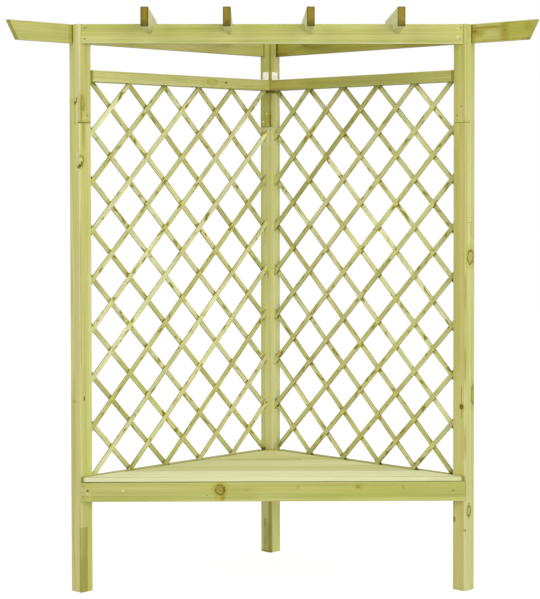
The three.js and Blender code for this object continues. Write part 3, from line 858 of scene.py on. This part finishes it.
def makeBeams():
    seeds = beams["seeds"]
    for side, along, inward in walls:
        node = f"side_beam_{side}"
        marks = beams["marks"][node] + besidePost(side, along)
        shade, share = beams["shades"][side], beams["tipShare"][side]
        timber(node, (along, up, inward), shade, seeds[node], marks=marks, endShare=share)
    marks = list(beams["marks"]["front_beam"])
    for index in range(1, len(beams["rafterEnds"]) + 1):
        marks += underRafter(index)
    timber("front_beam", (rightward, up, backward), beams["front"], seeds["front_beam"], marks=marks)
    for index, darkness in enumerate(beams["rafterEnds"], 1):
        node = f"rafter_{index}"
        low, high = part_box(node)
        marks = rafterMarks(darkness, (high.z - low.z) / 2)
        timber(node, (backward, up, rightward), beams["rafter"], seeds["rafter"] + index, marks=marks)
    print("beams and rafters")


rails = {
    "slot": "trellis_pine",
    "shades": {"left": (0.93, 0.3, 0.8), "right": (0.71, 0.2, 0.8)},
    "arris": 0.0018,
    "seed": 21,
    "marks": {
        "top_left": [
            # from the back end to the front one, then two knots
            stainAndShade("brown", 0.45, along=(None, -0.4455), fade=0.002, **innerSide),
            stainAndShade("brown", 0.18, along=(None, -0.40), across=(-0.004, 0.004), fade=0.02, **innerSide),
            stainAndShade("tan", 0.50, along=(0.355, 0.385), across=(-0.010, 0.008), soft=0.008, **innerSide),
            # the front end darker, as end grain and painted shade
            stainAndShade("dark", 0.60, along=(0, 0.004), soft=0.0015, end=1),
            knot((-0.2106, 0.0012, 0.035), 0.0038, turn=90, stretch=1.5, rim=0.8, fill=0.8, halo=0.6),
            knot((-0.137, 0.001, 0.035), 0.0105, turn=90, stretch=2.4, rim=0.25, fill=0.12, halo=0.15),
        ],
        "top_right": [
            # darker towards the back end, a line at the front one, and a knot on the outer face
            stainAndShade("olive", 0.40, along=(None, -0.20), soft=0.008, fade=0.12, **innerSide),
            stainAndShade("tan", 0.55, (None, -0.30), (-0.012, 0.014), soft=0.006, fade=0.08, **innerSide),
            stainAndShade("brown", 0.25, along=(None, -0.34), soft=0.006, fade=0.04, **innerSide),
            # the front end darker, as end grain and painted shade
            stainAndShade("dark", 0.60, along=(0, 0.004), soft=0.0015, end=1),
            knot((0.10, 0.0, -0.035), 0.006, turn=90),
        ],
        "low_left": [
            knot((0.15, 0.003, -0.035), 0.007, turn=90),
        ],
        "low_right": [
            knot((-0.22, -0.002, -0.035), 0.006, turn=90),
        ],
    },
}


def makeRails():
    seed = rails["seed"]
    for side, along, inward in walls:
        for level in ("top", "low"):
            marks = rails["marks"][f"{level}_{side}"]
            node = f"trellis_rail_{level}_{side}"
            axes = (along, up, inward)
            timber(node, axes, rails["shades"][side], seed, rails["arris"], marks)
            seed += 1
    print("trellis rails")


seat = {
    "slot": "seat_pine",
    "boardShades": [
        (1.10, 0.0, 0.9), (1.00, 0.1, 0.9), (1.12, 0.1, 0.9),
        (1.08, 0.15, 0.9), (1.22, 0.2, 0.9), (1.00, 0.2, 0.9),
    ],
    "apron": (0.73, 0.40, 0.30),
    "bearer": (0.9, 0.4, 0.9),
    "arris": 0.0016,
    "wallStrip": 0.008,      # how far the painted shade along the trellis walls comes out over the boards
    "wallSoft": 0.004,
    "wallShade": 0.75,
    "seeds": {"boards": 31, "apron": 38, "bearers": 39},
    "boardMarks": {
        1: [
            # pale, with a cream front face, painted shadow at its foot over the apron, and a knot underneath
            stainAndShade("pale", 0.80),
            stainAndShade("cream", 0.92, across=(None, -0.0640), soft=0.0015),
            stainAndShade("brown", 0.14, along=(0.56, None), across=(None, -0.050), fade=0.04),
            # painted shadow at the foot of the front face, over the apron
            stainAndShade("dark", 0.75, across=(None, -0.0500), depth=(None, -0.0075), soft=0.0008, late=True),
            knot((0.30, 0.01, -0.009), 0.008, turn=90),
        ],
        2: [stainAndShade("pale", 0.10)],
        3: [
            stainAndShade("pale", 0.25),
            stainAndShade("brown", 0.15, along=(-0.15, 0.12), across=(0.058, None), soft=0.006),
        ],
        4: [
            stainAndShade("brown", 0.35, along=(-0.17, 0.115), across=(-0.040, -0.015), soft=0.008, **innerSide),
            knot((0.12, -0.02, -0.009), 0.007, turn=90),
        ],
    },
    "apronMarks": [
        # spots near the ends
        stainAndShade("yellow", 0.45, along=(-0.654, -0.647), across=(-0.030, -0.005), soft=0.004, **frontSide),
        stainAndShade("yellow", 0.45, along=(-0.661, -0.654), across=(-0.032, -0.023), soft=0.003, **frontSide),
        stainAndShade("yellow", 0.45, along=(0.640, 0.650), across=(-0.031, -0.025), soft=0.003, **frontSide),
        stainAndShade("pale", 0.55, along=(-0.6625, -0.6575), across=(-0.0085, -0.003), **frontSide),
        stainAndShade("pale", 0.60, along=(-0.5360, -0.5295), across=(0.002, 0.008), soft=0.003, **frontSide),
        stainAndShade("dark", 0.80, along=(-0.6620, -0.6560), across=(0.0010, 0.0070), soft=0.003, **frontSide),
        stainAndShade("brown", 0.65, along=(-0.678, -0.672), across=(0.019, 0.026), soft=0.003, **frontSide),
        stainAndShade("brown", 0.60, along=(-0.674, -0.669), across=(0.011, 0.016), soft=0.003, **frontSide),
        stainAndShade("brown", 0.55, along=(-0.678, -0.672), across=(-0.020, -0.013), soft=0.003, **frontSide),
        # the big knot, with dark bands and flecks round it
        stainAndShade("brown", 0.30, along=(-0.105, -0.080), across=(0.0045, 0.0080), soft=0.003, **frontSide),
        stainAndShade("dark", 0.70, along=(-0.2370, -0.2325), across=(-0.0150, -0.0100), **frontSide),
        stainAndShade("brown", 0.35, along=(-0.206, -0.168), across=(-0.030, 0.028), soft=0.008, **frontSide),
        stainAndShade("brown", 0.60, along=(-0.186, -0.177), across=(-0.034, 0.030), soft=0.005, **frontSide),
        stainAndShade("dark", 0.75, along=(-0.182, -0.173), across=(-0.026, -0.010), soft=0.004, **frontSide),
        stainAndShade("dark", 0.60, along=(-0.205, -0.180), across=(0.020, 0.026), soft=0.003, **frontSide),
        stainAndShade("dark", 0.75, (-0.177, -0.170), across=(-0.002, 0.018), soft=0.003, late=True, **frontSide),
        stainAndShade("brown", 0.40, along=(-0.215, -0.203), across=(0.004, 0.020), soft=0.004, **frontSide),
        stainAndShade("brown", 0.18, (-0.165, -0.060), (-0.024, 0.020), soft=0.008, fade=0.03, **frontSide),
        knot((-0.1885, 0.0060, -0.011), 0.0165, turn=90, stretch=1.05, rim=0.75, fill=0.42, halo=0.9),
        knot((-0.1850, 0.0080, -0.011), 0.0070, turn=90, stretch=1.20, rim=0.65, fill=0.35, halo=0.2),
        # a dark dot at the right end, and small brown spots
        stainAndShade("dark", 0.85, (0.638, 0.645), across=(0, 0.0045), soft=0.0015, fade=0.003, **frontSide),
        stainAndShade("brown", 0.35, (0.628, 0.654), across=(0.0005, 0.0035), soft=0.0015, fade=0.006, **frontSide),
        stainAndShade("brown", 0.40, (0.082, 0.096), across=(0.010, 0.020), soft=0.004, **frontSide),
        stainAndShade("brown", 0.30, (0.290, 0.318), across=(0.008, 0.026), soft=0.006, **frontSide),
        stainAndShade("brown", 0.35, (0.458, 0.470), across=(0.010, 0.022), soft=0.004, **frontSide),
        # a knot in the middle spot, and one on the rear face
        knot((0.304, 0.0175, -0.011), 0.0045, turn=90, stretch=1.3, rim=0.7, fill=0.5, halo=0.6),
        knot((0.25, 0.006, 0.011), 0.008, turn=90),
    ],
}


def besideWalls(node):      # painted shade: the dark strips where a board meets the two trellis walls
    low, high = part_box(node)
    middle = (low + high) / 2 - backCorner
    marks = []
    for outward in (-rightWall, -leftWall):
        start = span(node, outward)[1] - seat["wallStrip"] - middle.dot(outward)
        marks.append(strip("dark", seat["wallShade"], tuple(outward), start, seat["wallSoft"]))
    return marks


def makeSeat():
    seeds = seat["seeds"]
    for index, shade in enumerate(seat["boardShades"], 1):
        axes = (rightward, backward, up)
        node = f"seat_board_{index}"
        marks = [*seat["boardMarks"].get(index, ()), *besideWalls(node)]
        timber(node, axes, shade, seeds["boards"] + index, seat["arris"], marks)
    axes = (rightward, up, backward)
    timber("seat_apron", axes, seat["apron"], seeds["apron"], marks=seat["apronMarks"])
    for seed, (side, along, inward) in enumerate(walls, seeds["bearers"]):
        timber(f"seat_bearer_{side}", (along, up, inward), seat["bearer"], seed)
    print("seat")


# Trellis slats in two crossed layers. Each is a rounded strip cut off where it meets the edge of its panel.
slats = {
    "slot": "trellis_pine",
    "width": 0.018,
    "thickness": 0.006,
    "arris": 0.0009,
    "arrisSteps": 3,
    "flatSteps": 8,
    "touch": 0.00002,
    "cornerMargin": 0.0095,      # from the back post's face to the first crossing's column
    "frontMargin": 0.0275,
    "across": 5,
    "down": 8,
    "seed": 51,
    "lightness": {
        "left front": (0.79, 1.00), "left back": (0.63, 0.94),
        "right front": (0.61, 0.88), "right back": (0.63, 0.98),
    },
    "bleach": {
        "left front": (0.10, 0.50), "left back": (0.05, 0.45),
        "right front": (0.05, 0.35), "right back": (0.10, 0.55),
    },
    "tanShare": (0.0, 0.5),
    "contrast": (0.6, 1.0),
    # how much painted shade a slat takes
    "stainedAndShaded": (0.1, 1.0),
    "grainStart": (0, 400),          # where along the grain's pattern a slat lies
    "heartAside": (-0.05, 0.05),     # where it lies in its tree
    "heartDepth": (0.02, 0.05),
}


def slatSection():
    # Places across the slat and the half thickness there: flat between two quarter circles
    half, thick, arris = slats["width"] / 2, slats["thickness"] / 2, slats["arris"]
    turn = np.linspace(0, math.pi / 2, slats["arrisSteps"] + 1)
    rise = thick - arris + arris * np.sin(turn)
    run = -half + arris - arris * np.cos(turn)
    flat = np.linspace(run[-1], -run[-1], slats["flatSteps"] + 1)[1:-1]
    places = np.concatenate([run, flat, -run[::-1]])
    heights = np.concatenate([rise, np.full(len(flat), thick), rise[::-1]])
    return places, heights


def slatMesh(name, along, inward, level, start, slope, window, shade, weave, rng):
    # In the wall's plane a slat runs along its slope through a start point. The line at each place across it
    # is followed both ways to the window's edge, so its ends take the cut that the panel's edge gives them.
    places, heights = slatSection()
    direction = np.array([1.0, slope]) / math.hypot(1, slope)
    normal = np.array([-direction[1], direction[0]])
    origins = np.array(start) + places[:, None] * normal
    low, high = np.array(window[0]), np.array(window[1])
    toLow = (low - origins) / direction
    toHigh = (high - origins) / direction
    first = np.minimum(toLow, toHigh).max(1)
    last = np.maximum(toLow, toHigh).min(1)
    ends = np.stack([first, last], 1)                              # by place and end
    plane = origins[:, None, :] + ends[..., None] * direction      # by place, end, and along or up

    def sheet(sign):      # one face of the slat, above or below its middle level
        offset = np.broadcast_to((level + sign * heights)[:, None, None], (*ends.shape, 1))
        return np.concatenate([plane, offset], 2)

    local = np.stack([sheet(1), sheet(-1)]).reshape(-1, 3)         # along the wall, up and inwards
    basis = np.array([tuple(along), tuple(up), tuple(inward)])
    points = local @ basis + np.array(backCorner)

    # The corners' numbers by sheet, place and end, and those at the two sides of each step across
    corner = np.arange(len(local)).reshape(2, -1, 2)
    (front0, back0), (front1, back1) = corner[:, :-1], corner[:, 1:]
    faces = np.concatenate([
        np.stack([front0[:, 0], front0[:, 1], front1[:, 1], front1[:, 0]], 1),
        np.stack([back0[:, 0], back1[:, 0], back1[:, 1], back0[:, 1]], 1),
        np.stack([front0[:, 0], front1[:, 0], back1[:, 0], back0[:, 0]], 1),
        np.stack([front0[:, 1], back0[:, 1], back1[:, 1], front1[:, 1]], 1),
        [[corner[0, 0, 0], corner[1, 0, 0], corner[1, 0, 1], corner[0, 0, 1]]],
        [[corner[0, -1, 0], corner[0, -1, 1], corner[1, -1, 1], corner[1, -1, 0]]],
    ])
    steps = len(places) - 1
    step = np.arange(steps)
    curved = (step < slats["arrisSteps"]) | (step >= steps - slats["arrisSteps"])
    none = np.zeros(steps, bool)
    arris = np.concatenate([curved, curved, none, none, [False, False]])
    cut = np.concatenate([none, none, ~none, ~none, [False, False]])
    # the long sides, which take painted shade
    sideShade = np.concatenate([none, none, none, none, [True, True]])

    mesh = bpy.data.meshes.new(name)
    mesh.from_pydata(points, [], faces.tolist())
    faceOutwards(mesh)
    mesh.polygons.foreach_set("use_smooth", arris)
    reach, height, inwards = local.T
    inPlane = (local - local.mean(0))[:, :2]
    grain = np.stack([
        inPlane @ direction + rng.uniform(*slats["grainStart"]),
        inPlane @ normal + rng.uniform(*slats["heartAside"]),
        inwards - level + rng.uniform(*slats["heartDepth"]),
    ], 1)
    line = weave["open"] * (height + slope * reach - weave["from"]) / weave["pitch"]
    count = len(local)
    layers = np.stack([line, weave["rail"] - height, np.full(count, weave["kind"])], 1)
    setAttribute(mesh, "timber", "FLOAT_VECTOR", "POINT", grain)
    setAttribute(mesh, "shade", "FLOAT_VECTOR", "POINT", np.tile(shade, (count, 1)))
    setAttribute(mesh, "weave", "FLOAT_VECTOR", "POINT", layers)
    setAttribute(mesh, "bleach", "FLOAT", "POINT", np.full(count, weave["bleach"]))
    setAttribute(mesh, "arris", "FLOAT", "FACE", arris)
    setAttribute(mesh, "endGrain", "FLOAT", "FACE", cut)
    setAttribute(mesh, "sideShade", "FLOAT", "FACE", sideShade)
    return mesh


def makeSlats():
    rng = np.random.default_rng(slats["seed"])
    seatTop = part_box("seat_board_1")[1].z
    for (side, along, inward), rise in zip(walls, (-1, 1)):
        node = f"trellis_lattice_{side}"
        near = span("post_back_lower", along)[1] + slats["cornerMargin"]
        far = span(f"post_{side}_lower", along)[0] - slats["frontMargin"]
        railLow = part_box(f"trellis_rail_top_{side}")[0].z
        columnPitch = (far - near) / slats["across"]
        rowPitch = (railLow - seatTop) / slats["down"]
        window = list(zip(span(node, along), span(node, up)))
        middle = sum(span(node, inward)) / 2
        spacing = rowPitch * math.cos(math.atan2(rowPitch, columnPitch))
        material = pineMaterial(f"slats_{side}", panel={"spacing": spacing, "height": railLow - seatTop})
        for layer, turn, sign in (("front", rise, 1), ("back", -rise, -1)):
            level = middle + sign * (slats["thickness"] / 2 + slats["touch"])
            start, otherStart = (near, far) if turn > 0 else (far, near)
            slope = turn * rowPitch / columnPitch
            lightness = slats["lightness"][f"{side} {layer}"]
            bleach = slats["bleach"][f"{side} {layer}"]
            for number, line in enumerate(range(1 - slats["down"], slats["across"]), 1):
                shade = [rng.uniform(*ends) for ends in (lightness, slats["tanShare"], slats["contrast"])]
                name = f"slat_{side}_{layer}_{number:02d}"
                origin = (start, seatTop - rowPitch * line)
                weave = {
                    "from": seatTop + slope * otherStart, "pitch": rowPitch, "rail": railLow,
                    "open": -rise, "kind": -sign * rng.uniform(*slats["stainedAndShaded"]),
                    "bleach": rng.uniform(*bleach),
                }
                mesh = slatMesh(name, along, inward, level, origin, slope, window, shade, weave, rng)
                addPiece(name, mesh, material, [node])
    print("trellis slats")


# Screws: turned from a profile, with a cross recess pressed into the head
screws = {
    "slot": "screw_steel",
    "colours": {                             # by a word in the node's name
        "bracket": (0.82, 0.82, 0.68), "splice_back": (0.76, 0.80, 0.36), "splice": (0.40, 0.39, 0.16),
        "apron_left": (0.16, 0.14, 0.05), "apron": (0.36, 0.36, 0.12), "beam": (0.28, 0.28, 0.15),
        "rafter": (0.40, 0.38, 0.20),
    },
    "spangle": 900,
    "sides": 32,
    "headRings": 14,
    "firstRing": 0.03,      # the innermost ring's share of the head
    "point": 0.02,          # the point's share of the shank
    "recessArm": 0.00055,
    "recessReach": 0.0024,
    "recessDepth": 0.0016,
    "recessWalls": (3, 4),      # how steep it is at the sides of an arm and at its ends
    "seed": 5,
}


def screwAxis(node):
    # The solid's points, its axis towards the head, and each point's height on it from the middle.
    # The solid is long and thin, and widest at its head.
    points = coordinates(node)
    middle = (points.min(0) + points.max(0)) / 2
    axis = np.linalg.svd(points - points.mean(0), full_matrices=False)[2][0]
    height = (points - middle) @ axis
    radial = np.linalg.norm(points - middle - height[:, None] * axis, axis=1)
    sign = -1 if height[radial.argmax()] < 0 else 1
    return points, sign * axis, sign * height


def screwMesh(node, material, rng):
    # The solid's outline, the widest place at each depth, turned round its axis
    points, axis, height = screwAxis(node)
    crown = points[height > height.max() - weld].mean(0)
    offsets = points - crown
    depth = -(offsets @ axis)
    radial = np.linalg.norm(offsets + depth[:, None] * axis, axis=1)
    deeps, level = np.unique(np.round(depth, 6), return_inverse=True)
    wides = np.zeros(len(deeps))
    np.maximum.at(wides, level, radial)
    inner = np.linspace(screws["firstRing"], 1, screws["headRings"]) * wides[0]
    radii = np.concatenate([inner, wides[1:-1], [wides[1] * screws["point"]]])
    drops = np.concatenate([np.zeros(len(inner)), deeps[1:-1], [deeps[-1]]])
    turn = np.linspace(0, 2 * math.pi, screws["sides"], endpoint=False)
    across = radii[:, None] * np.cos(turn)
    beside = radii[:, None] * np.sin(turn)

    # A cross is pressed into the head. Arm counts from its nearer bar's middle line, reach along that bar.
    arm = np.minimum(np.abs(across), np.abs(beside))
    reach = np.maximum(np.abs(across), np.abs(beside))
    sideWall, endWall = screws["recessWalls"]
    pressed = np.clip((1 - arm / screws["recessArm"]) * sideWall, 0, 1)
    pressed = pressed * np.clip((1 - reach / screws["recessReach"]) * endWall, 0, 1)
    isHead = (np.arange(len(radii)) < len(inner))[:, None]
    deep = drops[:, None] + np.where(isHead, pressed * screws["recessDepth"], 0)
    spin = rng.uniform(0, math.pi)
    first = np.cross(axis, np.array(rightward if np.abs(axis).argmax() == 2 else up))
    first /= np.linalg.norm(first)
    second = np.cross(axis, first)
    first, second = (
        first * math.cos(spin) + second * math.sin(spin),
        second * math.cos(spin) - first * math.sin(spin),
    )
    ringPoints = crown + across[..., None] * first + beside[..., None] * second - deep[..., None] * axis
    rings, sides = across.shape
    ring, side = np.meshgrid(np.arange(rings - 1), np.arange(sides), indexing="ij")
    following = (side + 1) % sides
    quads = np.stack([
        ring * sides + side, (ring + 1) * sides + side,
        (ring + 1) * sides + following, ring * sides + following,
    ], -1).reshape(-1, 4)
    caps = [list(range(sides))[::-1], [(rings - 1) * sides + k for k in range(sides)]]
    mesh = bpy.data.meshes.new(node + "_steel")
    mesh.from_pydata(ringPoints.reshape(-1, 3), [], quads.tolist() + caps)
    faceOutwards(mesh)
    addPiece(node + "_steel", mesh, material, [node])


def makeScrews():
    looks = {
        word: steelMaterial(word + "Screw", colour, screws["spangle"])
        for word, colour in screws["colours"].items()
    }
    rng = np.random.default_rng(screws["seed"])
    for node in sorted(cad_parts):
        if node.startswith("screw_"):
            word = next(word for word in looks if word in node)
            screwMesh(node, looks[word], rng)
    print("screws")


# Angle brackets: the bent plates with their edges eased
brackets = {
    "slot": "galvanised_steel",
    "colour": (0.97, 0.96, 0.80),
    "spangle": 160,
    "arris": 0.0003,
    "arrisSteps": 2,
    "sharpAngle": 40,
}


def makeBrackets():
    material = steelMaterial("galvanised", brackets["colour"], brackets["spangle"])
    sharpAngle = math.radians(brackets["sharpAngle"])
    for node in sorted(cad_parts):
        if node.startswith("bracket_"):
            work = weldedSolid(node)
            sharp = [edge for edge in work.edges if edge.calc_face_angle(0) > sharpAngle]
            mesh = roundedMesh(node + "_plate", work, sharp, brackets["arris"], brackets["arrisSteps"])
            addPiece(node + "_plate", mesh, material, [node])
    print("brackets")


# The studio: a camera fitted to the photograph, a white world, a pale floor and soft lamps
studio = {
    "imageSize": (540, 599),
    "focalPixels": 1799.56,
    "horizonRow": 236,
    "cameraPlace": (-0.0827, -6.6483, 1.4571),
    "cameraTurn": 0.01148,
    "cameraTilt": 0.02935,
    "cameraRoll": 0.00127,
    "worldLight": 0.475,
    "floorSize": 60,
    "floorBounce": 0.68,
    "floorShadow": 0.25,
    "floorGlow": 1.18,
    "lampSize": 4.0,
    "lampDistance": 7.0,
    "lamps": {      # the way from the arbour to each lamp, and the level that it gives a face turned to it
        "right": ((0.45, -0.70, 0.55), 0.17),
        "left": ((-0.50, -0.68, 0.53), 0.24),
        "front": ((0.27, -0.96, 0.05), 0.43),
        "top": ((0, 0, 1), 0.30),
    },
}


def makeCamera():
    data = bpy.data.cameras.new("camera")
    camera = inScene("camera", data)
    longSide = max(studio["imageSize"])
    data.lens = studio["focalPixels"] * data.sensor_width / longSide
    data.shift_y = (studio["horizonRow"] - studio["imageSize"][1] / 2) / longSide
    turn = Matrix.Rotation(-studio["cameraTurn"], 4, "Z")
    tilt = Matrix.Rotation(math.pi / 2 - studio["cameraTilt"], 4, "X")
    roll = Matrix.Rotation(-studio["cameraRoll"], 4, "Z")
    camera.matrix_world = Matrix.Translation(studio["cameraPlace"]) @ turn @ tilt @ roll
    bpy.context.scene.camera = camera
    print("camera")


def seenDirectly(wire):      # 1 for what the camera, a mirror or glass sees, 0 for light from dull surfaces
    rays = ("Is Camera Ray", "Is Glossy Ray", "Is Transmission Ray")
    camera, glossy, through = [wire.make("ShaderNodeLightPath", {}, {}, ray) for ray in rays]
    return camera.math("MAXIMUM", camera, glossy.math("MAXIMUM", glossy, through))


def makeWorld():
    world = bpy.data.worlds.new("studio")
    world.use_nodes = True
    bpy.context.scene.world = world
    tree = world.node_tree
    wire = Wire(tree)
    light = wire.make("ShaderNodeBackground", {}, {"Color": white, "Strength": studio["worldLight"]})
    view = wire.make("ShaderNodeBackground", {}, {"Color": white, "Strength": 1.0})
    mix = wire.make("ShaderNodeMixShader", {}, {0: seenDirectly(wire), 1: light, 2: view})
    tree.links.new(mix.socket, tree.nodes["World Output"].inputs["Surface"])


def makeFloor():
    half = studio["floorSize"] / 2
    mesh = bpy.data.meshes.new("floor")
    corners = [(-half, -half, 0), (half, -half, 0), (half, half, 0), (-half, half, 0)]
    mesh.from_pydata(corners, [], [(0, 1, 2, 3)])
    floor = inScene("floor", mesh)
    material, _, wire = blankMaterial("floor")
    bounce = studio["floorBounce"]
    dull = wire.make("ShaderNodeBsdfDiffuse", {}, {"Color": (bounce, bounce, bounce, 1)})
    shaded = wire.make("ShaderNodeBsdfDiffuse", {}, {"Color": white})
    glow = wire.make("ShaderNodeEmission", {}, {"Color": white, "Strength": studio["floorGlow"]})
    seen = wire.make("ShaderNodeMixShader", {}, {0: studio["floorShadow"], 1: glow, 2: shaded})
    both = wire.make("ShaderNodeMixShader", {}, {0: seenDirectly(wire), 1: dull, 2: seen})
    tree = material.node_tree
    tree.links.new(both.socket, tree.nodes["Material Output"].inputs["Surface"])
    mesh.materials.append(material)


def makeLamps():
    # A disk of power P at distance d, turned to a face, lights it to the level P / (pi d)^2
    target = Vector((0, 0, cadBox[1].z / 2))
    distance = studio["lampDistance"]
    for name, (way, level) in studio["lamps"].items():
        data = bpy.data.lights.new(name, "AREA")
        data.shape = "DISK"
        data.size = studio["lampSize"]
        data.energy = level * (math.pi * distance) ** 2
        lamp = inScene(name, data)
        lamp.location = target + Vector(way).normalized() * distance
        lamp.rotation_euler = Vector(way).to_track_quat("Z", "Y").to_euler()
        lamp.visible_camera = False


def makeStudio():
    bpy.context.scene.view_settings.view_transform = "Standard"
    makeCamera()
    makeWorld()
    makeFloor()
    makeLamps()
    print("studio")


makeStudio()
makePosts()
makeBeams()
makeRails()
makeSeat()
makeSlats()
makeScrews()
makeBrackets()
